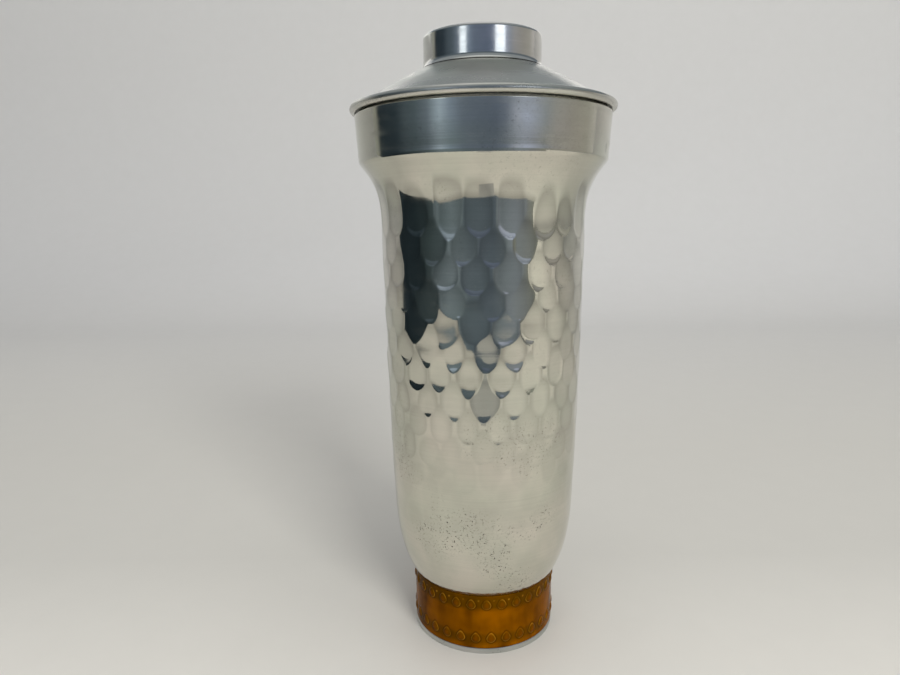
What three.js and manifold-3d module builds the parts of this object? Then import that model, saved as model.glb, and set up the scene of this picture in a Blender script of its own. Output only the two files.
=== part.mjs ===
// Cocktail shaker: a hammered aluminium cup on a moulded amber foot, with a plug-in cover, a riveted
// spout and strainer, and a cap with a cork. Millimetres, +Z up, origin at the centre of the foot's
// underside. Every round piece is turned about the Z axis from an outline of [radius, height] points.
// The heights below are measured from a datum inside the foot disc, and FOOT_DROP is how far the disc's
// underside lies below it.
import * as THREE from 'three';
import { mergeVertices } from 'three/addons/utils/BufferGeometryUtils.js';
import Module from 'manifold-3d';

const wasm = await Module();
wasm.setup();

// General
const GAP = 0.3; // clearance between two pieces that touch
const LARGE_SIDES = 36; // facets round the cup, foot and cover
const SMALL_SIDES = 32; // facets round the cap and spout
const TINY_SIDES = 12; // facets round a rivet
const CURVE_STEPS = 5; // straight steps along each curve of an outline
const FOOT_DROP = 1.2; // from the datum down to the foot's underside

// Cup
const CUP_WALL = 1.2;
const FLOOR_Z = 23; // underside of the floor
const FLOOR_R = 21.5; // flat part of the floor
const HIP = [38, 33.1]; // where the wall turns in above the foot
const BELLY = [44.9, 65]; // where the barrel begins
const SHOULDER = [48.5, 203]; // where the barrel ends and the flare begins
const FLARE_END = [57.3, 230.9];
const COLLAR_LOW = [58.2, 233.4];
const RIM = [59.5, 252.5];

// Moulded foot ring and its soft washer
const RING_R = 35.6;
const RING_BORE_R = 25.5;
const RING_TOP_Z = 32;
const GASKET_WALL = 0.9;
const GASKET_FROM = 0.27; // both as shares of the way along the cup's turn-in
const GASKET_TO = 0.55;
const GASKET_ROOM_FROM = 0.08; // the relief for it opens into the bore
const GASKET_ROOM_TO = 0.575;
const GASKET_STEPS = 3;

// Foot disc: thick flat rim, and a thinner raised web for the nut
const PLATE_R = 35.6;
const PLATE_TOP_Z = 1.7;
const PLATE_EDGE = 0.4; // broken edges of the rim
const WEB_T = 1.6;
const WEB_Z = 12;
const WEB_R = 15.5;

// Stud, washers and nut under the floor
const STUD_R = 3;
const STUD_END_Z = 2.6;
const STUD_FLANGE_R = 8.5;
const STUD_FLANGE_T = 1;
const CLEAR_R = 3.4; // holes that pass the stud
const WASHER_R = 7.5;
const WASHER_T = 1;
const LOCK_R = 5.6;
const LOCK_T = 1.5;
const LOCK_SPLIT = 0.14; // radians left open in the spring washer
const NUT_FLATS = 10;
const NUT_T = 4.8;

// Cover: crown land, dome and rolled bead
const LID_WALL = 1;
const LAND_Z = 274.9; // flat land on the crown, under the cap
const LAND_R = 24.4;
const LID_HOLE_R = 20.6;
const GROOVE = [58.1, 256.65]; // where the dome meets the bead
const BEAD_R = 1.85;
const BEAD_AT = [59.75, 255.75];
const BEAD_START = THREE.MathUtils.degToRad(150);
const BEAD_END = THREE.MathUtils.degToRad(-130);

// Skirt which plugs into the collar, and its seal
const SKIRT_WALL = 1;
const SKIRT_R = 56.9;
const SKIRT_END_Z = 238.2;
const SEAL_Z = 246;
const SEAL_TUBE_R = 1.15;
const SEAL_R = 56.4; // centre line
const SKIRT_GROOVE_R = SEAL_R - SEAL_TUBE_R - GAP;

// Spout, its washer, the strainer and the rivets
const SPOUT_WALL = 0.9;
const SPOUT_R = 19.5;
const SPOUT_LIP_R = 20.6;
const SPOUT_LIP_Z = 283.9;
const FLANGE_R = 24.6;
const SPOUT_GASKET_T = 0.6;
const STRAINER_T = 0.8;
const STRAINER_HOLE_R = 1.5;
const STRAINER_PITCH = 4.6;
const STRAINER_RINGS = 3;
const RIVETS = 3;
const RIVET_PITCH_R = 22.3;
const RIVET_R = 0.9;
const RIVET_HOLE_R = 1.2;
const RIVET_HEAD_R = 1.6;
const RIVET_HEAD_T = 0.8;

// Cap and cork
const CAP_WALL = 1;
const CAP_R = 27.2;
const CAP_TOP_Z = 288;
const CAP_EDGE = 1.4; // radius of the rounded top edge
const CAP_FOOT = [28.4, 273.65]; // thin edge of the flared foot
const CAP_FOOT_INSIDE = [26.2, 274.75];
const CAP_FILLET_Z = 276.2; // where the flare meets the straight side
const CORK_R = 18.3;
const CORK_END_R = 17.8;
const CORK_END_Z = 278.4;
const CORK_BRIM_R = 22.5;

// Heights of the stack under the crown, from the dome's underside down
const SPOUT_GASKET_TOP = LAND_Z - LID_WALL - GAP;
const FLANGE_TOP = SPOUT_GASKET_TOP - SPOUT_GASKET_T - GAP;
const STRAINER_TOP = FLANGE_TOP - SPOUT_WALL - GAP;
const STRAINER_BOTTOM = STRAINER_TOP - STRAINER_T;

// Heights of the stack under the web of the foot disc
const WASHER_TOP = WEB_Z - GAP;
const LOCK_TOP = WASHER_TOP - WASHER_T - GAP;
const NUT_TOP = LOCK_TOP - LOCK_T - GAP;

const finishes = {
  hammered: { color: 0xb9b9b4, roughness: 0.3, metalness: 1 },
  satin: { color: 0xa9abad, roughness: 0.32, metalness: 1 },
  foot: { color: 0x9fa3a2, roughness: 0.42, metalness: 1 },
  amber: { color: 0x8a4c0b, roughness: 0.2, metalness: 0 },
  rubber: { color: 0x2a2a29, roughness: 0.85, metalness: 0 },
  fibre: { color: 0x8a3b2a, roughness: 0.8, metalness: 0 },
  cork: { color: 0xb98a58, roughness: 0.9, metalness: 0 },
  steel: { color: 0x8d9093, roughness: 0.4, metalness: 1 },
};

// ---- Geometry helpers -------------------------------------------------------------------------

const vector = ([radius, height]) => new THREE.Vector2(radius, height);

// Twice the signed area of a closed outline; positive when it runs anticlockwise.
function signedArea(points) {
  return points.reduce((sum, p, i) => sum + p.cross(points[(i + 1) % points.length]), 0);
}

// Turns an outline about Z. The outline closes on itself, or runs from the axis to the axis.
function turned(points, sides = LARGE_SIDES) {
  const outline = points.map((p) => p.clone());
  if (signedArea(outline) < 0) outline.reverse();
  const onAxis = outline.filter((p) => p.x === 0).length;
  if (onAxis === 0) {
    outline.push(outline[0].clone());
  } else {
    while (outline[0].x !== 0 || outline[outline.length - 1].x !== 0) outline.push(outline.shift());
  }
  return new THREE.LatheGeometry(outline, sides).rotateX(Math.PI / 2);
}

// Moves an open outline sideways, to the left of its direction of travel.
function offset(points, distance) {
  return points.map((point, i) => {
    const before = point.clone().sub(points[Math.max(i - 1, 0)]);
    const after = points[Math.min(i + 1, points.length - 1)].clone().sub(point);
    if (i === 0) before.copy(after);
    if (i === points.length - 1) after.copy(before);
    const normals = [before, after].map((d) => new THREE.Vector2(-d.y, d.x).normalize());
    const mean = normals[0].clone().add(normals[1]).normalize();
    const moved = point.clone().addScaledVector(mean, distance / mean.dot(normals[0]));
    if (point.x === 0) moved.x = 0;
    return moved;
  });
}

// A sheet-metal outline: one face, the other face to its left, and a rounded nose on each free edge.
function sheet(face, wall) {
  const back = offset(face, wall);
  const nose = (end, next, behind) => {
    if (end.x === 0) return [];
    const out = end.clone().sub(next).setLength(Math.abs(wall) / 2);
    return [end.clone().add(behind).multiplyScalar(0.5).add(out)];
  };
  const last = face.length - 1;
  return [
    ...face,
    ...nose(face[last], face[last - 1], back[last]),
    ...back.slice().reverse(),
    ...nose(face[0], face[1], back[0]),
  ];
}

// A flat ring from one radius to another, between two heights.
function washer(inner, outer, bottom, top, sides = LARGE_SIDES) {
  const corners = [[inner, bottom], [outer, bottom], [outer, top], [inner, top]];
  return turned(corners.map(vector), sides);
}

function circle(radius, sides, x = 0, y = 0) {
  const points = [];
  for (let i = 0; i < sides; i += 1) {
    const angle = (i / sides) * 2 * Math.PI;
    points.push(new THREE.Vector2(x + radius * Math.cos(angle), y + radius * Math.sin(angle)));
  }
  return points;
}

// A flat plate with holes, each outline a list of points, standing from one height to another.
function plate(outline, holes, bottom, top) {
  const shape = new THREE.Shape(outline);
  for (const hole of holes) shape.holes.push(new THREE.Path(hole));
  const solid = new THREE.ExtrudeGeometry(shape, { depth: top - bottom, bevelEnabled: false });
  return solid.translate(0, 0, bottom);
}

function toManifold(geometry) {
  const bare = geometry.clone();
  bare.deleteAttribute('normal');
  bare.deleteAttribute('uv');
  const merged = mergeVertices(bare, 1e-4);
  const index = merged.index.array;
  const triangles = [];
  for (let i = 0; i < index.length; i += 3) {
    const [a, b, c] = [index[i], index[i + 1], index[i + 2]];
    if (a !== b && b !== c && c !== a) triangles.push(a, b, c);
  }
  return new wasm.Manifold(new wasm.Mesh({
    numProp: 3,
    vertProperties: new Float32Array(merged.attributes.position.array),
    triVerts: new Uint32Array(triangles),
  }));
}

function fromManifold(solid) {
  const mesh = solid.getMesh();
  const geometry = new THREE.BufferGeometry();
  geometry.setAttribute('position', new THREE.BufferAttribute(mesh.vertProperties, 3));
  geometry.setIndex(new THREE.BufferAttribute(mesh.triVerts, 1));
  geometry.computeVertexNormals();
  return geometry;
}

function cut(geometry, tools) {
  const whole = toManifold(geometry);
  return fromManifold(tools.reduce((solid, tool) => solid.subtract(toManifold(tool)), whole));
}

// Where the rivets stand, and the drill that clears each of them through a span of heights.
const rivetPlaces = circle(RIVET_PITCH_R, RIVETS);
function rivetDrills(bottom, top) {
  return rivetPlaces.map(({ x, y }) => plate(circle(RIVET_HOLE_R, TINY_SIDES, x, y), [], bottom, top));
}

// ---- Cup and foot -----------------------------------------------------------------------------

// The turn-in from the flat floor up to the hip, which the foot ring and its washer follow.
const turnIn = new THREE.CubicBezierCurve(
  new THREE.Vector2(FLOOR_R, FLOOR_Z),
  new THREE.Vector2(29, FLOOR_Z + 0.4),
  new THREE.Vector2(35.2, 27.3),
  vector(HIP),
);

// The cup's outer face, from the middle of the floor up to the rim.
function cupFace() {
  const path = new THREE.Path();
  path.moveTo(0, FLOOR_Z);
  path.lineTo(FLOOR_R, FLOOR_Z);
  path.curves.push(turnIn);
  path.currentPoint.set(...HIP);
  path.bezierCurveTo(42.4, 42.4, 44.1, 52, ...BELLY);
  path.bezierCurveTo(46.7, 100, 47.9, 150, ...SHOULDER);
  path.bezierCurveTo(48.7, 218, 51.8, 224, ...FLARE_END);
  path.lineTo(...COLLAR_LOW);
  path.lineTo(...RIM);
  return path.getPoints(CURVE_STEPS);
}

function shakerBody() {
  return turned(sheet(cupFace(), CUP_WALL));
}

// A stretch of the turn-in, moved down by a distance.
function underCup(distance, from, to) {
  const points = [];
  for (let i = 0; i <= GASKET_STEPS; i += 1) {
    points.push(turnIn.getPoint(THREE.MathUtils.lerp(from, to, i / GASKET_STEPS)));
  }
  return offset(points, -distance);
}

function ringGasket() {
  return turned(sheet(underCup(GAP, GASKET_FROM, GASKET_TO), -GASKET_WALL));
}

// The moulded ring is a plain tube, relieved on top to the cup's curve and for the soft washer.
function baseRing() {
  const blank = washer(RING_BORE_R, RING_R, PLATE_TOP_Z + GAP, RING_TOP_Z);
  const grownCup = offset(cupFace(), -GAP);
  const cup = turned([...grownCup, new THREE.Vector2(0, grownCup[grownCup.length - 1].y)]);
  const room = underCup(GAP / 2, GASKET_ROOM_FROM, GASKET_ROOM_TO);
  return cut(blank, [cup, turned(sheet(room, -(GASKET_WALL + 1.5 * GAP)))]);
}

// The disc's outline runs along the underside from the stud's hole, round the rim and back over the top.
function basePlate() {
  const path = new THREE.Path();
  path.moveTo(CLEAR_R, WEB_Z);
  path.lineTo(WEB_R, WEB_Z);
  path.quadraticCurveTo(WEB_R + 2.2, WEB_Z, WEB_R + 3, WEB_Z - 2.5);
  path.lineTo(23, 1);
  path.quadraticCurveTo(24.2, -FOOT_DROP, 26, -FOOT_DROP);
  path.lineTo(PLATE_R - PLATE_EDGE, -FOOT_DROP);
  path.lineTo(PLATE_R, PLATE_EDGE - FOOT_DROP);
  path.lineTo(PLATE_R, PLATE_TOP_Z - PLATE_EDGE);
  path.lineTo(PLATE_R - PLATE_EDGE, PLATE_TOP_Z);
  path.lineTo(25.8, PLATE_TOP_Z);
  path.quadraticCurveTo(24.5, PLATE_TOP_Z, 24, 2.6);
  path.lineTo(WEB_R + 4.4, WEB_Z - 1.75);
  path.quadraticCurveTo(WEB_R + 3.1, WEB_Z + WEB_T, WEB_R + 0.3, WEB_Z + WEB_T);
  path.lineTo(CLEAR_R, WEB_Z + WEB_T);
  return turned(path.getPoints(CURVE_STEPS - 2));
}

function baseStud() {
  const top = FLOOR_Z - GAP;
  const shoulder = top - STUD_FLANGE_T;
  const chamfer = 0.6;
  const outline = [
    [0, STUD_END_Z],
    [STUD_R - chamfer, STUD_END_Z],
    [STUD_R, STUD_END_Z + chamfer],
    [STUD_R, shoulder],
    [STUD_FLANGE_R, shoulder],
    [STUD_FLANGE_R, top],
    [0, top],
  ];
  return turned(outline.map(vector), TINY_SIDES * 2);
}

function lockWasher() {
  const shape = new THREE.Shape();
  const [from, to] = [LOCK_SPLIT / 2, 2 * Math.PI - LOCK_SPLIT / 2];
  shape.absarc(0, 0, LOCK_R, from, to, false);
  shape.absarc(0, 0, CLEAR_R, to, from, true);
  const options = { depth: LOCK_T, bevelEnabled: false, curveSegments: TINY_SIDES };
  return new THREE.ExtrudeGeometry(shape, options).translate(0, 0, LOCK_TOP - LOCK_T);
}

function baseNut() {
  const corner = NUT_FLATS / 2 / Math.cos(Math.PI / 6);
  return plate(circle(corner, 6), [circle(STUD_R + GAP, TINY_SIDES * 2)], NUT_TOP - NUT_T, NUT_TOP);
}

// ---- Cover ------------------------------------------------------------------------------------

// The cover's upper face runs from the hole in the crown, down the dome and round the rolled bead.
function lidDome() {
  const path = new THREE.Path();
  path.moveTo(LID_HOLE_R, LAND_Z);
  path.lineTo(LAND_R, LAND_Z);
  path.bezierCurveTo(31, 272.9, 46, 264.2, ...GROOVE);
  path.absarc(...BEAD_AT, BEAD_R, BEAD_START, BEAD_END, true);
  const geometry = turned(sheet(path.getPoints(CURVE_STEPS), -LID_WALL));
  return cut(geometry, rivetDrills(LAND_Z - 3, LAND_Z + 3));
}

// The skirt's outer face runs up from its free end, in round the seal, and in under the dome.
function lidSkirt() {
  const half = SEAL_TUBE_R + GAP;
  const slope = half + 1.2;
  const path = new THREE.Path();
  path.moveTo(SKIRT_R, SKIRT_END_Z);
  path.lineTo(SKIRT_R, SEAL_Z - slope);
  path.lineTo(SKIRT_GROOVE_R, SEAL_Z - half);
  path.lineTo(SKIRT_GROOVE_R, SEAL_Z + half);
  path.lineTo(SKIRT_R, SEAL_Z + slope);
  path.lineTo(SKIRT_R, 254.6);
  path.lineTo(55.9, 256.2);
  path.lineTo(50.8, 259.3);
  return turned(sheet(path.getPoints(), SKIRT_WALL));
}

function lidSeal() {
  const points = circle(SEAL_TUBE_R, 8).map((p) => p.add(new THREE.Vector2(SEAL_R, SEAL_Z)));
  return turned(points);
}

// The spout's outer face runs in from the lip, down the neck and out along the flange.
function pourSpout() {
  const turn = 0.8;
  const path = new THREE.Path();
  path.moveTo(SPOUT_LIP_R, SPOUT_LIP_Z);
  path.quadraticCurveTo(SPOUT_R, SPOUT_LIP_Z, SPOUT_R, SPOUT_LIP_Z - 2);
  path.lineTo(SPOUT_R, FLANGE_TOP + turn);
  path.lineTo(SPOUT_R + turn, FLANGE_TOP);
  path.lineTo(FLANGE_R - SPOUT_WALL / 2, FLANGE_TOP);
  const geometry = turned(sheet(path.getPoints(CURVE_STEPS - 2), -SPOUT_WALL), SMALL_SIDES);
  return cut(geometry, rivetDrills(FLANGE_TOP - 3, FLANGE_TOP + 3));
}

function spoutGasket() {
  const holes = rivetPlaces.map(({ x, y }) => circle(RIVET_HOLE_R, TINY_SIDES, x, y));
  const bore = circle(SPOUT_R + 1.2, SMALL_SIDES);
  const rim = circle(FLANGE_R - 0.2, SMALL_SIDES);
  return plate(rim, [bore, ...holes], SPOUT_GASKET_TOP - SPOUT_GASKET_T, SPOUT_GASKET_TOP);
}

// Round rows of drain holes about the middle of the disc, each row six more than the last.
function strainer() {
  const holes = rivetPlaces.map(({ x, y }) => circle(RIVET_HOLE_R, TINY_SIDES, x, y));
  holes.push(circle(STRAINER_HOLE_R, 6));
  for (let row = 1; row <= STRAINER_RINGS; row += 1) {
    for (const { x, y } of circle(row * STRAINER_PITCH, row * 6)) {
      holes.push(circle(STRAINER_HOLE_R, 6, x, y));
    }
  }
  return plate(circle(FLANGE_R, SMALL_SIDES), holes, STRAINER_BOTTOM, STRAINER_TOP);
}

// A rivet on the axis: round head above the crown, shank, and the closed head under the strainer.
function rivet() {
  const headBottom = LAND_Z + GAP;
  const tailTop = STRAINER_BOTTOM - GAP;
  const crown = RIVET_HEAD_R * 0.55;
  const outline = [
    [0, tailTop - RIVET_HEAD_T],
    [crown, tailTop - RIVET_HEAD_T],
    [RIVET_HEAD_R, tailTop],
    [RIVET_R, tailTop],
    [RIVET_R, headBottom],
    [RIVET_HEAD_R, headBottom],
    [crown, headBottom + RIVET_HEAD_T],
    [0, headBottom + RIVET_HEAD_T],
  ];
  return turned(outline.map(vector), TINY_SIDES);
}

// ---- Cap --------------------------------------------------------------------------------------

// The cap's outer face runs up from a foot that is drawn out thin over the dome. Its inner face is a
// wall's thickness behind the side and the top.
function capShell() {
  const inside = CAP_TOP_Z - CAP_WALL;
  const path = new THREE.Path();
  path.moveTo(...CAP_FOOT);
  path.quadraticCurveTo(CAP_R, CAP_FOOT[1] + 0.5, CAP_R, CAP_FILLET_Z);
  path.lineTo(CAP_R, CAP_TOP_Z - CAP_EDGE);
  path.quadraticCurveTo(CAP_R, CAP_TOP_Z, CAP_R - CAP_EDGE, CAP_TOP_Z);
  path.lineTo(0, CAP_TOP_Z);
  path.lineTo(0, inside);
  path.lineTo(CAP_R - CAP_EDGE, inside);
  path.lineTo(CAP_R - CAP_WALL, CAP_TOP_Z - CAP_EDGE);
  path.lineTo(...CAP_FOOT_INSIDE);
  return turned(path.getPoints(CURVE_STEPS - 1), SMALL_SIDES);
}

// The cork has a tapered plug in the spout and a brim that seals on the spout's lip.
function capCork() {
  const top = CAP_TOP_Z - CAP_WALL - GAP;
  const brim = SPOUT_LIP_Z + SPOUT_WALL + GAP;
  const outline = [
    [0, CORK_END_Z],
    [CORK_END_R, CORK_END_Z],
    [CORK_R, brim],
    [CORK_BRIM_R, brim],
    [CORK_BRIM_R, top],
    [0, top],
  ];
  return turned(outline.map(vector), SMALL_SIDES);
}

// ---- Assembly ---------------------------------------------------------------------------------

const materials = Object.fromEntries(
  Object.entries(finishes).map(([name, finish]) => [name, new THREE.MeshStandardMaterial(finish)]),
);

function piece(name, geometry, finish) {
  const mesh = new THREE.Mesh(geometry, materials[finish]);
  mesh.name = name;
  return mesh;
}

const cup = new THREE.Group();
cup.add(
  piece('shaker_body', shakerBody(), 'hammered'),
  piece('ring_gasket', ringGasket(), 'rubber'),
  piece('base_ring', baseRing(), 'amber'),
  piece('base_plate', basePlate(), 'foot'),
  piece('base_stud', baseStud(), 'steel'),
  piece('flat_washer', washer(CLEAR_R, WASHER_R, WASHER_TOP - WASHER_T, WASHER_TOP, 24), 'steel'),
  piece('lock_washer', lockWasher(), 'steel'),
  piece('base_nut', baseNut(), 'steel'),
);

const cover = new THREE.Group();
cover.add(
  piece('lid_dome', lidDome(), 'satin'),
  piece('lid_skirt', lidSkirt(), 'satin'),
  piece('lid_seal', lidSeal(), 'rubber'),
  piece('pour_neck', pourSpout(), 'satin'),
  piece('neck_gasket', spoutGasket(), 'fibre'),
  piece('strainer', strainer(), 'satin'),
);
rivetPlaces.forEach(({ x, y }, i) => {
  const one = piece(`strainer_rivet_${i + 1}`, rivet(), 'satin');
  one.position.set(x, y, 0);
  cover.add(one);
});

const cap = new THREE.Group();
cap.add(piece('cap_shell', capShell(), 'satin'), piece('cap_cork', capCork(), 'cork'));

const shaker = new THREE.Group();
shaker.add(cup, cover, cap);
shaker.position.z = FOOT_DROP;

export default shaker;
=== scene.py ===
"""Looks for the cocktail shaker: turned and hammered metal, a beaded amber ring, and a soft studio."""
import math

import bpy
import numpy as np
from mathutils import Matrix, Vector


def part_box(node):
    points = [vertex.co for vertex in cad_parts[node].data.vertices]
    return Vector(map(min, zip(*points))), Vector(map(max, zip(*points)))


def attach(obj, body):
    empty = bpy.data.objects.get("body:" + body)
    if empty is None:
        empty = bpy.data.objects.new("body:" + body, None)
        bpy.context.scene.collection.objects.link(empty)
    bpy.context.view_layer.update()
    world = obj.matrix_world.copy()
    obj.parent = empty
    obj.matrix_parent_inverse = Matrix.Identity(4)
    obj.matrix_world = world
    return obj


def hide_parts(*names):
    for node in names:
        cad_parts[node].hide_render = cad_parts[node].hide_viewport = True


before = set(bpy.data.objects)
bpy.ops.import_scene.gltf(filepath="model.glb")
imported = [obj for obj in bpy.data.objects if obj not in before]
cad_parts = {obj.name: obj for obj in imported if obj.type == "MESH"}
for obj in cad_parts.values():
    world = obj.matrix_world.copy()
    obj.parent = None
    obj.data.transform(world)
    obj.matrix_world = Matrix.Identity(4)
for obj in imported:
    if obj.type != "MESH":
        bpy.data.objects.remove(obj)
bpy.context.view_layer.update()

MM = 0.001  # outlines are drawn in millimetres, meshes are made in metres
FOOT_DROP = 1.2  # outline heights are from a datum this far above the foot's underside, as in the CAD
JOINT_LINE = 0.12  # visible gap between pieces that touch, mm


def span(node):
    """A node's outer radius, and its lowest and highest points above the datum, in millimetres."""
    low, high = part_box(node)
    return high.x / MM, low.z / MM - FOOT_DROP, high.z / MM - FOOT_DROP


# ---- Outlines: [radius, height] points, in millimetres -------------------------------------------


class Pen:
    """Draws an outline, one stretch after another."""

    def __init__(self, radius, height):
        self.points = [(radius, height)]

    def line(self, end, steps=1):
        return self.curve(None, None, end, steps)

    def curve(self, near, far, end, steps):
        """A cubic curve with two handles, or a straight line with none."""
        start = np.array(self.points[-1])
        end = np.array(end, float)
        near = start + (end - start) / 3 if near is None else np.array(near)
        far = end - (end - start) / 3 if far is None else np.array(far)
        for t in np.linspace(0, 1, steps + 1)[1:]:
            s = 1 - t
            point = s**3 * start + 3 * s * s * t * near + 3 * s * t * t * far + t**3 * end
            self.points.append(tuple(point))
        return self

    def bend(self, corner, end, steps):
        """A rounded corner: leaves towards the corner and arrives from it."""
        start, corner, end = np.array(self.points[-1]), np.array(corner), np.array(end)
        return self.curve(start + (corner - start) * 2 / 3, end + (corner - end) * 2 / 3, end, steps)

    def arc(self, centre, radius, start, end, steps):
        for angle in np.radians(np.linspace(start, end, steps + 1)):
            self.points.append((centre[0] + radius * math.cos(angle), centre[1] + radius * math.sin(angle)))
        return self

    def array(self):
        return np.array(self.points, float)


def left_normals(points, closed=False):
    """The direction to the left of travel at each point, lengthened at corners to keep a wall's thickness."""
    before = points - np.roll(points, 1, axis=0)
    after = np.roll(points, -1, axis=0) - points
    if not closed:
        before[0] = after[0]
        after[-1] = before[-1]
    sides = []
    for step in (before, after):
        length = np.linalg.norm(step, axis=1, keepdims=True)
        sides.append(np.stack([-step[:, 1], step[:, 0]], axis=1) / np.maximum(length, 1e-9))
    mean = sides[0] + sides[1]
    mean /= np.linalg.norm(mean, axis=1, keepdims=True)
    return mean / np.maximum((mean * sides[0]).sum(1, keepdims=True), 0.5)


def offset(points, distance):
    moved = points + left_normals(points) * distance
    moved[points[:, 0] < 1e-9, 0] = 0
    return moved


def sheet(face, wall, nose_steps=6):
    """A sheet-metal outline: one face, the other face to its left, and a round nose on each free edge."""
    back = offset(face, wall)

    def nose(end, inner, behind):
        if end[0] < 1e-9:
            return np.zeros((0, 2))
        middle = (end + behind) / 2
        out = (end - inner) / np.linalg.norm(end - inner)
        turns = np.linspace(0, math.pi, nose_steps + 1)[1:-1]
        side, depth = end - middle, out * abs(wall) / 2
        return np.array([middle + side * math.cos(t) + depth * math.sin(t) for t in turns])

    last = nose(face[-1], face[-2], back[-1])
    first = nose(face[0], face[1], back[0])[::-1]
    return np.concatenate([face, last, back[::-1], first])


# ---- Meshes --------------------------------------------------------------------------------------


def make_mesh(name, vertices, faces, sharp=40):
    """An object from vertices in metres and arrays of faces, one array per number of corners."""
    mesh = bpy.data.meshes.new(name)
    corners = np.concatenate([f.ravel() for f in faces]).astype(np.int32)
    totals = np.concatenate([np.full(len(f), f.shape[1]) for f in faces]).astype(np.int32)
    starts = np.concatenate([[0], np.cumsum(totals)[:-1]]).astype(np.int32)
    mesh.vertices.add(len(vertices))
    mesh.vertices.foreach_set("co", vertices.astype(np.float32).ravel())
    mesh.loops.add(len(corners))
    mesh.loops.foreach_set("vertex_index", corners)
    mesh.polygons.add(len(totals))
    mesh.polygons.foreach_set("loop_start", starts)
    mesh.update(calc_edges=True)
    mesh.shade_smooth()
    mesh.set_sharp_from_angle(angle=math.radians(sharp))
    obj = bpy.data.objects.new(name, mesh)
    bpy.context.scene.collection.objects.link(obj)
    return obj


def turned(name, outline, columns, relief=None):
    """Turns an outline about Z. relief gives each point's push along the outline's outward side, in mm."""
    outline = np.asarray(outline, float)
    following = np.roll(outline, -1, axis=0)
    if (outline[:, 0] * following[:, 1] - outline[:, 1] * following[:, 0]).sum() < 0:
        outline = outline[::-1]
    on_axis = outline[:, 0] < 1e-9
    closed = not on_axis.any()
    while not closed and not (outline[0, 0] < 1e-9 and outline[-1, 0] < 1e-9):
        outline = np.roll(outline, -1, axis=0)
    azimuth = np.arange(columns) / columns * 2 * math.pi
    radius, height = outline[:, 0, None], outline[:, 1, None]
    push = np.zeros((len(outline), columns))
    if relief is not None:
        normals = -left_normals(outline, closed)
        push = push + relief(azimuth[None, :], radius, height, normals)
        radius = radius + normals[:, 0, None] * push
        height = height + normals[:, 1, None] * push
    radius, height = np.broadcast_arrays(radius + 0 * azimuth, height + 0 * azimuth)
    rings = np.stack([radius * np.sin(azimuth), -radius * np.cos(azimuth), height], axis=-1)
    if not closed:
        rings, push = rings[1:-1], push[1:-1]
    rows = len(rings)
    vertices = rings.reshape(-1, 3)
    here = np.arange(columns)
    there = (here + 1) % columns
    faces = []
    for row in range(rows if closed else rows - 1):
        low, high = row * columns, (row + 1) % rows * columns
        faces.append(np.stack([low + here, low + there, high + there, high + here], axis=1))
    faces = [np.concatenate(faces)]
    if not closed:
        ends = np.array([[0, 0, outline[0, 1]], [0, 0, outline[-1, 1]]])
        first, last = len(vertices), len(vertices) + 1
        vertices = np.concatenate([vertices, ends])
        top = (rows - 1) * columns
        faces.append(np.stack([np.full(columns, first), there, here], axis=1))
        faces.append(np.stack([np.full(columns, last), top + here, top + there], axis=1))
        push = np.append(push, (0, 0))
    vertices[:, 2] += FOOT_DROP
    obj = make_mesh(name, vertices * MM, faces)
    if relief is None:
        obj.modifiers.new("even_shading", "WEIGHTED_NORMAL").keep_sharp = True
    else:
        stored = obj.data.attributes.new("relief", "FLOAT", "POINT")
        stored.data.foreach_set("value", push.astype(np.float32).ravel())
    return obj


def dress(obj, material, body, node):
    """Gives a piece its material, puts it under the body that carries it, and hides the CAD node it stands
    for.
    """
    obj.data.materials.clear()
    obj.data.materials.append(material)
    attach(obj, body)
    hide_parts(node)
    return obj


# ---- Materials -----------------------------------------------------------------------------------


class Nodes:
    """A node tree, with short ways to add what the materials and the room here share."""

    def __init__(self, tree):
        self.tree = tree

    def add(self, kind, **settings):
        node = self.tree.nodes.new(kind)
        for key, value in settings.items():
            setattr(node, key, value)
        return node

    def link(self, source, target):
        if isinstance(source, bpy.types.NodeSocket):
            self.tree.links.new(source, target)
        else:
            target.default_value = source

    def math(self, operation, *values):
        node = self.add("ShaderNodeMath", operation=operation)
        for socket, value in zip(node.inputs, values):
            self.link(value, socket)
        return node.outputs[0]

    def plus(self, first, second):
        return self.math("ADD", first, second)

    def times(self, first, *others):
        for other in others:
            first = self.math("MULTIPLY", first, other)
        return first

    def away(self, value, middle):
        """How far a value is from a middle one, on either side."""
        return self.math("ABSOLUTE", self.math("SUBTRACT", value, middle))

    def split(self, vector):
        node = self.add("ShaderNodeSeparateXYZ")
        self.link(vector, node.inputs[0])
        return node.outputs

    def joined(self, *values):
        node = self.add("ShaderNodeCombineXYZ")
        for socket, value in zip(node.inputs, values):
            self.link(value, socket)
        return node.outputs[0]

    def between(self, value, low, high, start=0.0, end=1.0, kind="LINEAR"):
        """Maps a value from start..end onto low..high, clamped."""
        node = self.add("ShaderNodeMapRange", interpolation_type=kind)
        self.link(value, node.inputs["Value"])
        for key, number in (("From Min", start), ("From Max", end), ("To Min", low), ("To Max", high)):
            self.link(number, node.inputs[key])
        return node.outputs["Result"]

    def mix(self, factor, first, second):
        node = self.add("ShaderNodeMix", data_type="RGBA")
        self.link(factor, node.inputs[0])
        self.link(first, node.inputs[6])
        self.link(second, node.inputs[7])
        return node.outputs[2]


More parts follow.
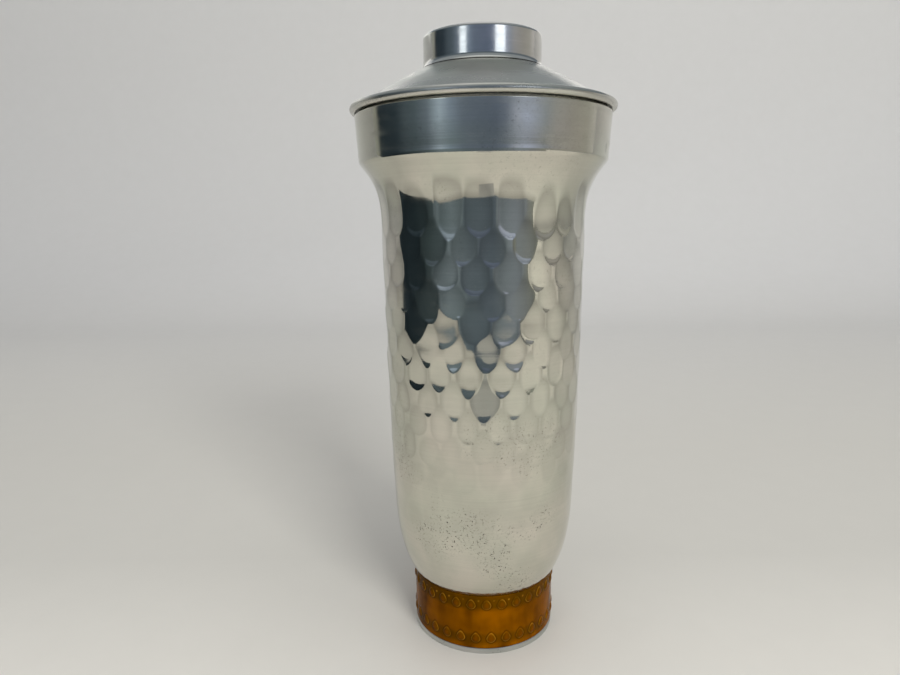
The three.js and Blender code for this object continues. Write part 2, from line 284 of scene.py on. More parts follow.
class Material(Nodes):
    """A material with one Principled surface, patterned in the object's own coordinates."""

    def __init__(self, name):
        self.material = bpy.data.materials.new(name)
        self.material.use_nodes = True
        super().__init__(self.material.node_tree)
        self.surface = self.tree.nodes["Principled BSDF"]
        self.place = self.add("ShaderNodeTexCoord").outputs["Object"]

    def stretched(self, around, along):
        """Coordinates for a pattern that runs round the axis: rates on x and y, and on height and radius."""
        x, y, z = self.split(self.place)
        radius = self.math("SQRT", self.plus(self.times(x, x), self.times(y, y)))
        reach = self.plus(z, self.times(radius, 0.73))
        return self.joined(self.times(x, around), self.times(y, around), self.times(reach, along))

    def relief(self):
        """How far turned() pushed each point out, in mm."""
        stored = self.add("ShaderNodeAttribute", attribute_name="relief", attribute_type="GEOMETRY")
        return stored.outputs["Fac"]

    def noise(self, vector, scale, detail=2.0, roughness=0.5):
        node = self.add("ShaderNodeTexNoise")
        self.link(vector, node.inputs["Vector"])
        node.inputs["Scale"].default_value = scale
        node.inputs["Detail"].default_value = detail
        node.inputs["Roughness"].default_value = roughness
        return node.outputs["Fac"]

    def bump(self, height, distance, strength):
        node = self.add("ShaderNodeBump")
        self.link(height, node.inputs["Height"])
        self.link(distance, node.inputs["Distance"])
        self.link(strength, node.inputs["Strength"])
        return node.outputs["Normal"]

    def set(self, **sockets):
        for key, value in sockets.items():
            self.link(value, self.surface.inputs[key.replace("_", " ")])
        return self.material


def colour(red, green, blue):
    return (red, green, blue, 1.0)


def aluminium(name, tone, rough, brush, spots=0.0, anisotropic=0.0, brushed_above=1.0, mark_edge_shade=0.0):
    """Worn spun aluminium: turning lines round the axis, cloudy tarnish, handling marks, curls and pits.

    brush is the depth of the turning lines and spots the strength of the pits. Above the height
    brushed_above the metal is brushed. The last argument is the strength of painted shade along the
    slopes just inside the rims of its hammer marks, standing in for the darker reflections there.
    """
    n = Material(name)
    lines = n.noise(n.stretched(14, 1500), 1.0, 3.0, 0.7)
    bands = n.noise(n.stretched(9, 420), 1.0, 2.0)
    clouds = n.noise(n.place, 55, 4.0, 0.6)
    smears = n.noise(n.stretched(60, 160), 1.0, 3.0, 0.6)
    pits = n.noise(n.place, 950, 3.0, 0.7)
    zones = n.noise(n.place, 30, 2.0, 0.5)
    hues = n.noise(n.place, 26, 3.0, 0.55)
    height = n.split(n.place)[2]
    low = n.between(height, 1, 0.25, 0.07, 0.13)
    brushed = n.between(height, 0, 1, brushed_above, brushed_above + 0.002)

    pit = n.times(n.between(pits, 0, 1, 0.61, 0.66), n.between(zones, 0, 1, 0.50, 0.60), low, spots)
    curl = n.between(n.away(n.noise(n.place, 330, 1.5, 0.6), 0.5), 1, 0, 0.0, 0.014)
    curl = n.times(curl, n.between(zones, 0, 1, 0.52, 0.60), low, spots, n.between(pits, 0, 0.7, 0.4, 0.6))
    relief = n.relief()
    # Painted shade along the slopes just inside each hammer mark's rim, standing in for the darker
    # reflections there; weaker low on the cup.
    edge = n.times(n.between(relief, 1, 0, -0.08, -0.015), n.between(relief, 0, 1, -0.30, -0.10))
    edge = n.times(edge, mark_edge_shade, n.between(height, 0.12, 1, 0.08, 0.15))

    warm = colour(tone[0] * 1.04, tone[1] * 1.01, tone[2] * 1.02)
    cool = colour(tone[0] * 0.94, tone[1] * 0.97, tone[2] * 0.95)
    base = n.mix(n.between(hues, 0, 1, 0.38, 0.62), warm, cool)
    base = n.mix(n.between(clouds, 0, 0.8, 0.4, 0.7), base, colour(*[c * 0.86 for c in tone]))
    base = n.mix(n.between(lines, 0, 0.14, 0.35, 0.7), base, colour(0.36, 0.35, 0.31))
    # the painted shade along the hammer marks' rims
    base = n.mix(edge, base, colour(*[c * 0.3 for c in tone]))
    base = n.mix(n.math("MAXIMUM", pit, curl), base, colour(0.09, 0.08, 0.07))

    roughness = n.plus(n.between(bands, rough * 0.8, rough * 1.2, 0.35, 0.65), n.times(pit, 0.3))
    roughness = n.plus(roughness, n.between(smears, 0, 0.05, 0.5, 0.7))
    roughness = n.plus(roughness, n.times(brushed, n.between(smears, 0.0, 0.10, 0.35, 0.65)))
    normal = n.bump(lines, 0.00001 * brush, n.plus(0.4, n.times(brushed, 0.6)))
    tangent = n.add("ShaderNodeTangent", direction_type="RADIAL", axis="Z")
    n.link(tangent.outputs[0], n.surface.inputs["Tangent"])
    return n.set(Base_Color=base, Metallic=1.0, Roughness=roughness, Normal=normal, Anisotropic=anisotropic)


def amber_resin():
    """Cast amber resin: light gathers in upright streaks. Painted light and shade: a lighter left side,
    lighter rims round the beads, and shade under the cup's edge and in the grooves round the beads.
    """
    n = Material("amber_resin")
    x, y, z = n.split(n.place)
    streaks = n.noise(n.joined(x, y, n.times(z, 0.22)), 85, 3.0, 0.5)
    clouds = n.noise(n.place, 90, 2.0, 0.5)
    scuffs = n.noise(n.place, 900, 2.0, 0.6)
    glow = n.plus(n.times(streaks, 0.6), n.times(clouds, 0.4))
    # Painted light: the left side of the ring is lighter.
    glow = n.plus(glow, n.between(x, 0.07, -0.07, -0.03, 0.03))
    base = n.mix(n.between(glow, 0, 1, 0.38, 0.62), colour(0.075, 0.024, 0.0), colour(0.225, 0.072, 0.0))
    # Painted shadow: darker just under the cup's edge. The resin is also darker along the lower row of beads.
    upper = n.between(n.away(z, 0.0272), 0.75, 0, 0.0025, 0.0050)
    lower = n.between(n.away(z, 0.0080), 0.55, 0, 0.0015, 0.0035)
    base = n.mix(n.plus(upper, lower), base, colour(0.060, 0.027, 0.0))
    relief = n.relief()
    # Painted highlight: lighter rims round the beads, in patches.
    rim = n.times(n.between(relief, 0, 0.8, 0.0, 0.08), n.between(relief, 1, 0, 0.14, 0.32))
    patches = n.between(n.noise(n.place, 260, 2.0, 0.5), 0.1, 0.9, 0.38, 0.62)
    base = n.mix(n.times(rim, patches), base, colour(0.34, 0.150, 0.012))
    base = n.mix(n.between(relief, 0, 0.6, 0.35, 0.6), base, colour(0.16, 0.044, 0.0))
    # Painted shade in the grooves round the beads.
    base = n.mix(n.between(relief, 0.6, 0, -0.12, 0.0), base, colour(0.045, 0.018, 0.0))
    return n.set(
        Base_Color=base, Roughness=n.between(scuffs, 0.12, 0.22, 0.4, 0.7),
        Normal=n.bump(scuffs, 0.00005, 0.2), IOR=1.09, Specular_Tint=colour(1.0, 0.6, 0.2),
        Subsurface_Weight=0.1, Subsurface_Radius=(0.003, 0.001, 0.0002), Subsurface_Scale=1.0,
    )


def rubber():
    n = Material("black_rubber")
    grain = n.noise(n.place, 1500, 3.0, 0.6)
    bloom = n.noise(n.place, 140, 3.0, 0.5)
    base = n.mix(n.between(bloom, 0, 1, 0.4, 0.7), colour(0.018, 0.018, 0.018), colour(0.045, 0.044, 0.042))
    return n.set(Base_Color=base, Roughness=n.between(grain, 0.6, 0.85), Normal=n.bump(grain, 0.00005, 0.5))


def fibre():
    n = Material("fibre_washer")
    fibres = n.noise(n.place, 2200, 4.0, 0.7)
    base = n.mix(fibres, colour(0.26, 0.07, 0.035), colour(0.42, 0.15, 0.08))
    return n.set(Base_Color=base, Roughness=0.75, Normal=n.bump(fibres, 0.00004, 0.6))


def cork():
    n = Material("cork")
    cells = n.add("ShaderNodeTexVoronoi")
    n.link(n.place, cells.inputs["Vector"])
    cells.inputs["Scale"].default_value = 900
    grain = n.noise(n.place, 260, 4.0, 0.65)
    base = n.mix(n.between(grain, 0, 1, 0.35, 0.65), colour(0.34, 0.18, 0.08), colour(0.58, 0.38, 0.2))
    base = n.mix(n.between(grain, 1, 0, 0.3, 0.36), base, colour(0.1, 0.045, 0.02))
    height = n.plus(n.times(cells.outputs["Distance"], 0.4), grain)
    return n.set(Base_Color=base, Roughness=0.85, Normal=n.bump(height, 0.0003, 0.6))


def steel():
    n = Material("plated_steel")
    clouds = n.noise(n.place, 420, 4.0, 0.6)
    fine = n.noise(n.place, 3000, 2.0, 0.6)
    base = n.mix(n.between(clouds, 0, 1, 0.4, 0.65), colour(0.42, 0.42, 0.41), colour(0.56, 0.56, 0.54))
    return n.set(
        Base_Color=base, Metallic=1.0, Roughness=n.between(clouds, 0.28, 0.45, 0.3, 0.7),
        Normal=n.bump(fine, 0.00002, 0.5),
    )


# ---- Cup -----------------------------------------------------------------------------------------

CUP_WALL = 1.2
DENTS_ROUND = 22  # hammer marks in one row
DENT_ROWS = 13
DENT_PITCH = 11.3  # from row to row, mm
DENT_TOP = 198.2  # lower end of the top row
DENT_DRIFT = -9.1  # degrees from one row to the next, half a mark and a little more
DENT_PHASE = 12.2
DENT_HALF_WIDTH = 7.1
DENT_LENGTH = 18.5
DENT_TOP_EXTRA = 12  # the top row's marks run this much further up, into the flare
DENT_DEPTH = (0.34, 0.52)  # in the upper rows, and half way down the cup
DENT_EDGE = (1.9, 4.2)  # width of the slope round a mark's lower end, in the same places


def cup_face(fine):
    """The cup's outer face from the middle of the floor to the rim; fine is steps per coarse step."""
    rim_r, floor_z, rim_z = span("shaker_body")
    pen = Pen(0, floor_z)
    pen.line((21.5, floor_z), 2)
    pen.curve((29, floor_z + 0.4), (35.2, 27.3), (38, 33.1), 5 * min(fine, 2))
    pen.curve((42.4, 42.4), (44.1, 52), (44.9, 65), 7 * fine)
    pen.curve((46.7, 100), (47.9, 150), (48.5, 203), 50 * fine if fine > 1 else 20)
    pen.curve((48.65, 219), (51.85, 224.2), (57.3, 230.9), 8 * fine)
    pen.bend((58.08, 231.8), (58.22, 232.8), 3 * min(fine, 2))
    pen.line((58.24, 233.8))
    pen.line((rim_r - 0.02, rim_z - CUP_WALL / 2 - 0.3), 8)
    pen.line((rim_r, rim_z - CUP_WALL / 2))
    return pen.array()


def hammer_marks(rng):
    """Each mark: azimuth, lower end, length, half width, depth, width of its slope, and its small tilts."""
    marks = []
    for row in range(DENT_ROWS):
        low = DENT_TOP - DENT_PITCH * row
        fade = min(1, max(0.25, (low - 75) / 55))
        spread = float(smooth((168 - low) / 50))
        depth = DENT_DEPTH[0] + (DENT_DEPTH[1] - DENT_DEPTH[0]) * spread
        edge = DENT_EDGE[0] + (DENT_EDGE[1] - DENT_EDGE[0]) * spread
        length = DENT_LENGTH + (DENT_TOP_EXTRA if row == 0 else 0)
        for i in range(DENTS_ROUND):
            azimuth = DENT_PHASE + DENT_DRIFT * row + 360 / DENTS_ROUND * i + rng.normal(0, 1.3)
            marks.append((
                math.radians(azimuth), low + rng.normal(0, 0.8), length,
                DENT_HALF_WIDTH * rng.normal(1, 0.05), depth * fade * rng.normal(1, 0.12),
                edge * rng.uniform(0.75, 1.35) + (1 - fade), rng.normal(0, 0.016), rng.normal(0, 0.010),
            ))
    return marks


def smooth(values):
    clipped = np.clip(values, 0, 1)
    return clipped * clipped * (3 - 2 * clipped)


def hammered(azimuth, radius, height, normals):
    """Overlapping hammer marks: shallow dishes, deeper towards their lower ends, cut by those above."""
    rng = np.random.default_rng(7)
    depth = np.zeros(np.broadcast_shapes(azimuth.shape, radius.shape))
    outside = (normals[:, 0] > 0.5)[:, None]
    for turn, low, length, half, deep, edge, sway, pitch in hammer_marks(rng):
        rows = np.nonzero(outside[:, 0] & (height[:, 0] > low - 2) & (height[:, 0] < low + length + 4))[0]
        swing = (azimuth[0] - turn + math.pi) % (2 * math.pi) - math.pi
        columns = np.nonzero(np.abs(swing) < (half + 2) / 40)[0]
        across = swing[columns][None, :] * radius[rows]
        up = height[rows] - low
        dish = (1 - 0.94 * (across / half) ** 2) * (1 - 0.3 * np.clip(up / length, 0, 1))
        inside = np.where(up < half, half - np.hypot(across, up - half), half - np.abs(across))
        slope = 1 - np.clip(1 - inside / edge, 0, 1) ** 2
        mark = (deep * dish + across * sway + (up - half) * pitch) * smooth((length + 4 - up) / 14)
        mark = np.where(inside > 0, np.maximum(mark, 0) * slope, 0)
        block = np.ix_(rows, columns)
        depth[block] = np.maximum(depth[block], mark)
    waves = 0.03 * np.sin(azimuth * 3 + height / 17) * np.sin(azimuth * 5 - height / 29)
    calm = smooth((height - 45) / 20) * smooth((229 - height) / 21)
    return np.where(outside, (waves - depth) * calm, 0) + dings(azimuth, radius, height, outside)


DINGS = ((64, 236.4, 1.1, 0.35), (-84, 234.8, 1.3, 0.4), (78, 236.0, 0.8, 0.15))  # turn, height, size, depth


def dings(azimuth, radius, height, outside):
    """Small knocks low on the collar."""
    push = 0
    for turn, level, size, deep in DINGS:
        across = ((azimuth - math.radians(turn) + math.pi) % (2 * math.pi) - math.pi) * radius
        push = push - deep * np.exp(-(across**2 + (height - level) ** 2) / size**2)
    return np.where(outside, push, 0)


def make_cup(material):
    outer = cup_face(4)
    inner = offset(cup_face(1), CUP_WALL)
    rim_r, _, rim_z = span("shaker_body")
    half = CUP_WALL / 2
    turns = np.radians(np.linspace(0, 180, 9))[1:-1]
    nose = np.stack([rim_r - half + half * np.cos(turns), rim_z - half + half * np.sin(turns)], axis=1)
    cup = turned("shaker_cup", np.concatenate([outer, nose, inner[::-1]]), 512, hammered)
    return dress(cup, material, "cup", "shaker_body")


# ---- Foot ----------------------------------------------------------------------------------------

BEADS_ROUND = 30
BEAD_R = 2.3
BEAD_HEIGHT = 0.6
BEAD_ROWS = ((24.5, -0.4, 1.0), (7.1, 3.1, 1.0), (26.9, 5.3, 0.25))  # height, one bead's azimuth, size


def beaded(azimuth, radius, height, normals):
    """Raised drops in two rows, with a faint third row under the cup's edge."""
    outside = (normals[:, 0] > 0.7)[:, None]
    push = np.zeros(np.broadcast_shapes(azimuth.shape, radius.shape))
    step = 2 * math.pi / BEADS_ROUND
    for level, turn, size in BEAD_ROWS:
        across = ((azimuth - math.radians(turn) + step / 2) % step - step / 2) * radius
        up = height - level
        tall = BEAD_R * size * np.where(up > 0, 1.3, 1.0)
        wide = BEAD_R * size * (1 - 0.35 * np.clip(up / tall, 0, 1))
        reach = np.sqrt((across / wide) ** 2 + (up / tall) ** 2)
        bead = BEAD_HEIGHT * size * np.clip(1 - reach**2, 0, 1) ** 0.8
        groove = 0.14 * size * np.exp(-(((reach - 1.12) / 0.14) ** 2))
        push = push + bead - groove
    return np.where(outside, push * smooth((27.5 - height) / 0.6), 0)


def make_foot(amber, metal):
    plate_r, plate_low, web_top = span("base_plate")
    plate_top = 1.7
    ring_r = span("base_ring")[0]
    ring_low = plate_top + JOINT_LINE
    cup_line = cup_face(1)
    under = cup_line[(cup_line[:, 1] < 40)]

    def below_cup(radius):
        return np.interp(radius, under[:, 0], under[:, 1]) - JOINT_LINE

    bore = 25.5
    lip = 33.6
    pen = Pen(bore, ring_low)
    pen.line((ring_r - 0.3, ring_low), 6)
    pen.bend((ring_r, ring_low), (ring_r, ring_low + 0.3), 3)
    pen.line((ring_r, below_cup(ring_r) - 0.4), 84)
    pen.bend((ring_r, below_cup(ring_r)), (ring_r - 0.4, below_cup(ring_r - 0.4)), 4)
    pen.line((lip, below_cup(lip)), 3)
    pen.line((lip, below_cup(lip) - 1.3), 3)
    for radius in np.linspace(lip, bore, 8)[1:]:
        pen.line((radius, below_cup(radius) - 1.3))
    pen.line((bore, ring_low + 0.01), 10)
    ring = turned("amber_ring", pen.array(), 720, beaded)
    dress(ring, amber, "cup", "base_ring")

    web = web_top - 1.6
    pen = Pen(3.4, web)
    pen.line((15.5, web), 4)
    pen.bend((17.7, web), (18.5, web - 2.5), 8)
    pen.line((23, 1), 4)
    pen.bend((24.2, plate_low), (26, plate_low), 8)
    pen.line((plate_r - 0.7, plate_low), 4)
    pen.bend((plate_r, plate_low), (plate_r, plate_low + 0.7), 6)
    pen.line((plate_r, plate_top - 0.35), 4)
    pen.bend((plate_r, plate_top), (plate_r - 0.35, plate_top), 4)
    pen.line((25.8, plate_top), 4)
    pen.bend((24.5, plate_top), (24, 2.6), 5)
    pen.line((19.9, web - 1.75), 3)
    pen.bend((18.6, web_top), (15.8, web_top), 6)
    pen.line((3.4, web_top), 4)
    dress(turned("foot_disc", pen.array(), 256), metal, "cup", "base_plate")


# ---- Cover ---------------------------------------------------------------------------------------

SPOUT_HOLE = 20.6  # radius of the hole in the dome's crown


def planished(azimuth, radius, height, normals):
    """Very shallow marks left on the dome by flattening it round the cap's seat."""
    upper = (normals[:, 1] > 0.4)[:, None] & (radius > 27)
    push = 0
    for middle, count, turn in ((33, 15, 3.0), (41, 19, 9.0)):
        step = 2 * math.pi / count
        across = ((azimuth - math.radians(turn) + step / 2) % step - step / 2) * radius
        push = push - 0.06 * np.clip(1 - (across / 6.2) ** 2 - ((radius - middle) / 5) ** 2, 0, 1)
    return np.where(upper, push, 0)


def make_cover(metal, seal_material):
    bead_r, _, crown = span("lid_dome")
    tube = 1.85
    pen = Pen(SPOUT_HOLE, crown)
    pen.line((24.4, crown), 3)
    pen.curve((31, crown - 2.0), (46, crown - 10.7), (58.1, 256.65), 60)
    pen.arc((bead_r - tube, 255.75), tube, 150, -130, 40)
    dome = turned("cover_dome", sheet(pen.array(), -1.0), 384, planished)
    dress(dome, metal, "cover", "lid_dome")

    skirt_r, skirt_low, skirt_high = span("lid_skirt")
    seal_r, seal_low, seal_high = span("lid_seal")
    tube = (seal_high - seal_low) / 2
    seal_z = (seal_high + seal_low) / 2
    groove = seal_r - 2 * tube - 0.3
    half = tube + 0.3
    pen = Pen(skirt_r, skirt_low + 0.5)
    pen.line((skirt_r, seal_z - half - 1.6), 4)
    pen.bend((skirt_r, seal_z - half), (groove, seal_z - half), 6)
    pen.line((groove, seal_z + half), 4)
    pen.bend((skirt_r, seal_z + half), (skirt_r, seal_z + half + 1.6), 6)
    pen.line((skirt_r, 254.3), 4)
    pen.bend((skirt_r, 255.6), (55.9, 256.2), 6)
    pen.line((50.8, 259.3), 4)
    skirt = turned("cover_skirt", sheet(pen.array(), 1.0), 256)
    dress(skirt, metal, "cover", "lid_skirt")

    ring = Pen(seal_r, seal_z).arc((seal_r - tube, seal_z), tube, 0, 345, 23).array()[1:]
    dress(turned("cover_seal", ring, 192), seal_material, "cover", "lid_seal")


def make_spout(metal):
    flange_r, low, high = span("pour_neck")
    wall = 0.9
    flange_top = low + wall
    lip_z = high - wall
    pen = Pen(20.6, lip_z)
    pen.bend((19.5, lip_z), (19.5, lip_z - 2), 8)
    pen.line((19.5, flange_top + 0.8), 4)
    pen.bend((19.5, flange_top), (20.3, flange_top), 5)
    pen.line((flange_r - wall / 2, flange_top), 3)
    spout = turned("spout", sheet(pen.array(), -wall), 192)
    dress(spout, metal, "cover", "pour_neck")


# ---- Cap -----------------------------------------------------------------------------------------


def make_cap(metal, cork_material):
    _, _, top = span("cap_shell")
    side = 27.2
    edge = 1.4
    inside = top - 1.0
    pen = Pen(28.35, 273.62)
    pen.curve((27.55, 274.05), (side, 275.1), (side, 276.6), 12)
    pen.line((side, top - edge), 10)
    pen.bend((side, top), (side - edge, top), 8)
    pen.line((0, top), 10)
    pen.line((0, inside))
    pen.line((side - 2.2, inside), 6)
    pen.bend((side - 1, inside), (side - 1, inside - 1.2), 5)
    pen.line((side - 1, 274.7), 6)
    cap = turned("cap", pen.array(), 256)
    dress(cap, metal, "cap", "cap_shell")

    brim_r, low, high = span("cap_cork")
    step = 285.1
    pen = Pen(0, low)
    pen.line((17.3, low), 6)
    pen.bend((17.8, low), (17.85, low + 0.5), 4)
    pen.line((18.3, step), 8)
    pen.line((brim_r - 0.4, step), 4)
    pen.bend((brim_r, step), (brim_r, step + 0.4), 3)
    pen.line((brim_r, high), 2)
    pen.line((0, high), 4)
    plug = turned("cap_cork_plug", pen.array(), 160)
    dress(plug, cork_material, "cap", "cap_cork")


# ---- Studio --------------------------------------------------------------------------------------

LENS = 26.8  # on a film 36 mm wide
CAMERA_PLACE = (-16.29, -327.3, 207.9 + FOOT_DROP)  # mm
CAMERA_PITCH = 0.180  # radians down from level
CAMERA_LEAN = -0.011
TABLE_EDGE = -0.60  # front edge of the table as the metal shows it, metres
TABLE_SIDE = -0.70  # its left edge
CARD_REACH = 4.0
CARD_LIFT = 0.0006  # from the floor to a card, and from one card to the next


def make_camera():
    """A phone's wide view from the front, a little above the middle, looking down, with a slight lean."""
    data = bpy.data.cameras.new("camera")
    data.sensor_width = 36
    data.lens = LENS
    data.clip_start = 0.01
    camera = bpy.data.objects.new("camera", data)
    bpy.context.scene.collection.objects.link(camera)
    turn = Matrix.Rotation(math.pi / 2 - CAMERA_PITCH, 3, "X") @ Matrix.Rotation(CAMERA_LEAN, 3, "Z")
    camera.matrix_world = Matrix.Translation(Vector(CAMERA_PLACE) * MM) @ turn.to_4x4()
    bpy.context.scene.camera = camera


def floor_paint_and_light():
    """Off-white paint, whiter on the backdrop than on the table top, with a painted pool of light close in
    front.
    """
    n = Material("floor_paint_and_light")
    grain = n.noise(n.place, 40, 4.0, 0.6)
    back = n.split(n.place)[1]
    base = n.mix(n.between(back, 0, 1, 0.25, 1.2), colour(0.635, 0.622, 0.575), colour(0.70, 0.70, 0.69))
    # Painted light: paler close in front of the object.
    base = n.mix(n.between(back, 1, 0, -0.08, 0.06), base, colour(0.79, 0.768, 0.71))
    base = n.mix(n.between(grain, 0, 0.06, 0.3, 0.7), base, colour(0.5, 0.5, 0.46))
    return n.set(Base_Color=base, Roughness=0.6)


def make_floor():
    """A pale table top that curves up into a backdrop well behind the object."""
    reach, back, bend = 4.0, 0.9, 0.6
    line = [(-reach, 0.0), (-1.0, 0.0), (0.0, 0.0), (back, 0.0)]
    for angle in np.radians(np.linspace(4, 90, 24)):
        line.append((back + bend * math.sin(angle), bend * (1 - math.cos(angle))))
    line.append((back + bend, 1.15))
    vertices = np.array([(x, y, z) for y, z in line for x in (-reach, reach)], float)
    rows = np.arange(len(line) - 1) * 2
    faces = np.stack([rows, rows + 1, rows + 3, rows + 2], axis=1)
    floor = make_mesh("floor", vertices, [faces])
    floor.data.materials.append(floor_paint_and_light())


# The room as polished metal sees it: azimuth from the front towards +X, in degrees, and its light.
ROOM = (
    (-180, (0.50, 0.50, 0.47)), (-160, (0.46, 0.47, 0.44)), (-140, (0.37, 0.375, 0.35)),
    (-107, (0.33, 0.335, 0.30)), (-104.5, (0.024, 0.035, 0.045)), (-82, (0.030, 0.045, 0.060)),
    (-72, (0.075, 0.100, 0.125)), (-62, (0.088, 0.120, 0.15)), (-50, (0.16, 0.20, 0.26)),
    (-39, (0.42, 0.52, 0.66)), (-30, (0.24, 0.31, 0.42)), (-19, (0.15, 0.19, 0.265)),
    (8, (0.135, 0.170, 0.25)), (17, (0.18, 0.22, 0.32)), (26, (0.46, 0.51, 0.66)),
    (35, (0.50, 0.57, 0.78)), (44, (0.40, 0.45, 0.58)), (52, (0.32, 0.35, 0.41)),
    (61, (0.37, 0.37, 0.385)), (82, (0.37, 0.36, 0.34)), (98, (0.40, 0.395, 0.36)),
    (110, (0.56, 0.55, 0.53)), (130, (0.61, 0.60, 0.60)), (160, (0.58, 0.58, 0.57)),
    (180, (0.50, 0.50, 0.47)),
)

# The same below the horizon, where the room's floor past the table lies in shade.
BEYOND = (
    (-180, (0.45, 0.45, 0.42)), (-107, (0.33, 0.335, 0.30)), (-104.5, (0.024, 0.035, 0.045)),
    (-82, (0.018, 0.028, 0.036)), (-62, (0.05, 0.07, 0.08)), (-50, (0.09, 0.12, 0.14)),
    (-39, (0.185, 0.235, 0.275)), (-28, (0.165, 0.21, 0.245)), (-16, (0.12, 0.155, 0.19)),
    (8, (0.11, 0.14, 0.18)), (18, (0.18, 0.215, 0.25)), (30, (0.27, 0.31, 0.37)),
    (42, (0.24, 0.26, 0.28)), (52, (0.30, 0.31, 0.28)), (70, (0.36, 0.36, 0.33)), (180, (0.45, 0.45, 0.42)),
)

WALL = (0.56, 0.56, 0.55)  # what the camera sees behind the floor
FILL = (0.42, 0.42, 0.43)  # even light from all round
UPPER = (0.11, 0.14, 0.17)  # dark upper part of the room, above the bright bands
CEILING = (0.32, 0.35, 0.375)
ZENITH = (0.80, 0.82, 0.84)  # straight overhead


def room_tones(n, direction, tones):
    """The room's light by azimuth, for a direction or for a point a long way from the axis."""
    x, y, _ = n.split(direction)
    angle = n.math("ARCTAN2", x, n.times(y, -1))
    ramp = n.add("ShaderNodeValToRGB")
    n.link(n.between(angle, 0, 1, -math.pi, math.pi), ramp.inputs[0])
    stops = ramp.color_ramp.elements
    while len(stops) < len(tones):
        stops.new(0.5)
    for stop, (degrees, light) in zip(stops, tones):
        stop.position = (degrees + 180) / 360
        stop.color = colour(*light)
    return ramp.outputs[0]


def make_room():
    """The world: plain to the camera, even as light, and a room of dark and bright bands in reflections."""
    world = bpy.data.worlds.new("room")
    bpy.context.scene.world = world
    world.use_nodes = True
    n = Nodes(world.node_tree)
    n.tree.nodes.clear()
    direction = n.add("ShaderNodeTexCoord").outputs["Generated"]
    height = n.split(direction)[2]
    light = room_tones(n, direction, BEYOND)
    layers = (
        (-0.03, 0.012, room_tones(n, direction, ROOM)), (0.29, 0.42, colour(*UPPER)),
        (0.43, 0.62, colour(*CEILING)), (0.84, 0.97, colour(*ZENITH)),
    )
    for low, top, above in layers:
        light = n.mix(n.between(height, 0, 1, low, top, "SMOOTHSTEP"), light, above)
    path = n.add("ShaderNodeLightPath")
    light = n.mix(path.outputs["Is Glossy Ray"], colour(*FILL), light)
    light = n.mix(path.outputs["Is Camera Ray"], light, colour(*WALL))
    background = n.add("ShaderNodeBackground")
    n.link(light, background.inputs[0])
    n.link(background.outputs[0], n.add("ShaderNodeOutputWorld").inputs[0])


def card(name, corners, layer, material):
    """A flat card just over the floor, seen in polished surfaces and by nothing else."""
    points = np.array([(x, y, CARD_LIFT * layer) for x, y in corners], float)
    obj = make_mesh(name, points, [np.array([range(len(corners))])])
    obj.data.materials.append(material)
    obj.visible_camera = False
    obj.visible_diffuse = False
    obj.visible_shadow = False
    obj.visible_transmission = False
    obj.visible_volume_scatter = False


def make_cards():
    """What the metal shows in place of the floor: the room past the table's front and left sides,
    and a grey card that paints the camera's shadow on the table.
    """
    n = Material("card")
    beyond = n.set(
        Base_Color=colour(0, 0, 0), Specular_IOR_Level=0,
        Emission_Color=room_tones(n, n.place, BEYOND), Emission_Strength=1.0,
    )
    front = [(TABLE_SIDE, -CARD_REACH), (5.3, -CARD_REACH), (0.80, TABLE_EDGE), (TABLE_SIDE, TABLE_EDGE)]
    card("front_card", front, 1, beyond)
    left = [(-CARD_REACH, -CARD_REACH), (TABLE_SIDE, -CARD_REACH), (TABLE_SIDE, 0.16), (-CARD_REACH, 1.05)]
    card("left_card", left, 1, beyond)

    n = Material("edge_shade")
    shade = n.between(n.split(n.place)[1], 0.40, 0, TABLE_EDGE, -0.40)
    shade = n.set(Base_Color=colour(0, 0, 0), Specular_IOR_Level=0, Alpha=shade)
    band = [(TABLE_SIDE, TABLE_EDGE), (0.80, TABLE_EDGE), (0.80, -0.38), (TABLE_SIDE, -0.38)]
    card("edge_shade", band, 1, shade)

    # Painted shadow: a grey card where the camera's shadow falls on the table in front.
    n = Material("camera_shadow_grey")
    grain = n.between(n.noise(n.place, 40, 4.0, 0.6), 0, 1, 0.3, 0.7)
    base = n.mix(grain, colour(0.46, 0.46, 0.45), colour(0.4462, 0.4462, 0.4365))
    grey = n.set(Base_Color=base, Roughness=0.8)
    card("camera_shadow_card", [(-0.07, TABLE_EDGE), (0.06, TABLE_EDGE), (0.035, -0.33), (-0.04, -0.33)], 2, grey)


def area_light(name, place, aim, size, radiance, tint=(1, 1, 1), in_reflections=True):
    data = bpy.data.lights.new(name, "AREA")
    data.shape = "RECTANGLE"
    data.size, data.size_y = size
    data.energy = radiance * math.pi * size[0] * size[1]
    data.color = tint
    light = bpy.data.objects.new(name, data)
    bpy.context.scene.collection.objects.link(light)
    turn = (Vector(aim) - Vector(place)).to_track_quat("-Z", "Y").to_matrix()
    light.matrix_world = Matrix.Translation(Vector(place)) @ turn.to_4x4()
    light.visible_glossy = in_reflections
    return light


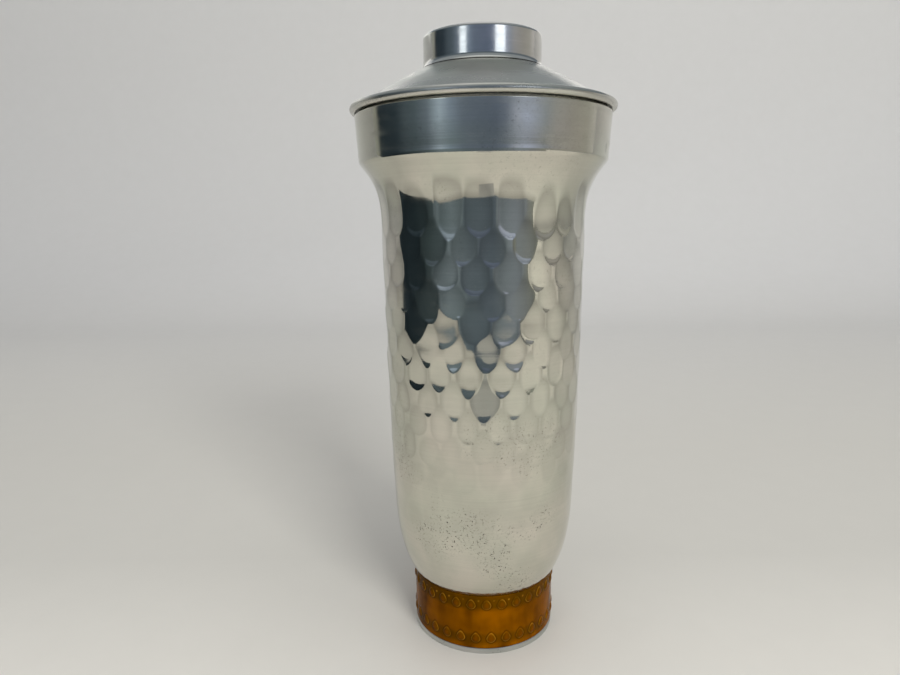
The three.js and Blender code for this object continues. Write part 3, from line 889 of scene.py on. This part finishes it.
def make_lights():
    """Two strips that show on the cap, soft panels overhead and behind, and a key for the floor."""
    distance, bottom, tall = 1.25, 0.54, 0.20
    for name, azimuth, width in (("left_strip", -39, 0.28), ("right_strip", 31, 0.42)):
        turn = math.radians(azimuth)
        middle = bottom + tall / 2
        place = (distance * math.sin(turn), -distance * math.cos(turn), middle)
        area_light(name, place, (0, 0, middle), (width, tall), 1.3, (0.90, 0.96, 1.0))
    area_light("overhead", (0.1, -0.2, 1.3), (0, 0, 0), (0.6, 0.6), 2.4, (1.0, 0.99, 0.97), False)
    area_light("key", (1.3, -2.7, 1.5), (0, 0, 0.1), (1.2, 1.2), 17, (1.0, 0.985, 0.95), False)
    back = area_light("back_panel", (-0.3, 1.0, 0.79), (0, 0, 0.27), (2.0, 0.34), 0.6)
    back.visible_camera = False


# ---- Build ---------------------------------------------------------------------------------------


def main():
    make_camera()
    hammered_metal = aluminium(
        "hammered_aluminium", (0.67, 0.655, 0.57), rough=0.07, brush=0.6, spots=1.0, anisotropic=0.3,
        brushed_above=0.2345, mark_edge_shade=0.38,
    )
    satin = aluminium(
        "satin_aluminium", (0.66, 0.65, 0.59), rough=0.26, brush=1.0, spots=0.3, anisotropic=0.3
    )
    polished = aluminium(
        "polished_aluminium", (0.68, 0.68, 0.64), rough=0.12, brush=0.5, spots=0.3, anisotropic=0.5
    )
    worn = aluminium("foot_aluminium", (0.62, 0.63, 0.61), rough=0.38, brush=1.0, spots=0.6)
    black = rubber()
    washer = fibre()
    plated = steel()
    make_cup(hammered_metal)
    make_foot(amber_resin(), worn)
    make_cover(satin, black)
    make_spout(satin)
    make_cap(polished, cork())
    kept = {
        "base_stud": plated, "flat_washer": plated, "lock_washer": plated, "base_nut": plated,
        "ring_gasket": black, "neck_gasket": washer, "strainer": satin,
        "strainer_rivet_1": satin, "strainer_rivet_2": satin, "strainer_rivet_3": satin,
    }
    for node, material in kept.items():
        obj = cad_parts[node]
        obj.data.materials.clear()
        obj.data.materials.append(material)
    make_floor()
    make_cards()
    make_room()
    make_lights()
    bpy.context.scene.view_settings.view_transform = "Standard"


main()
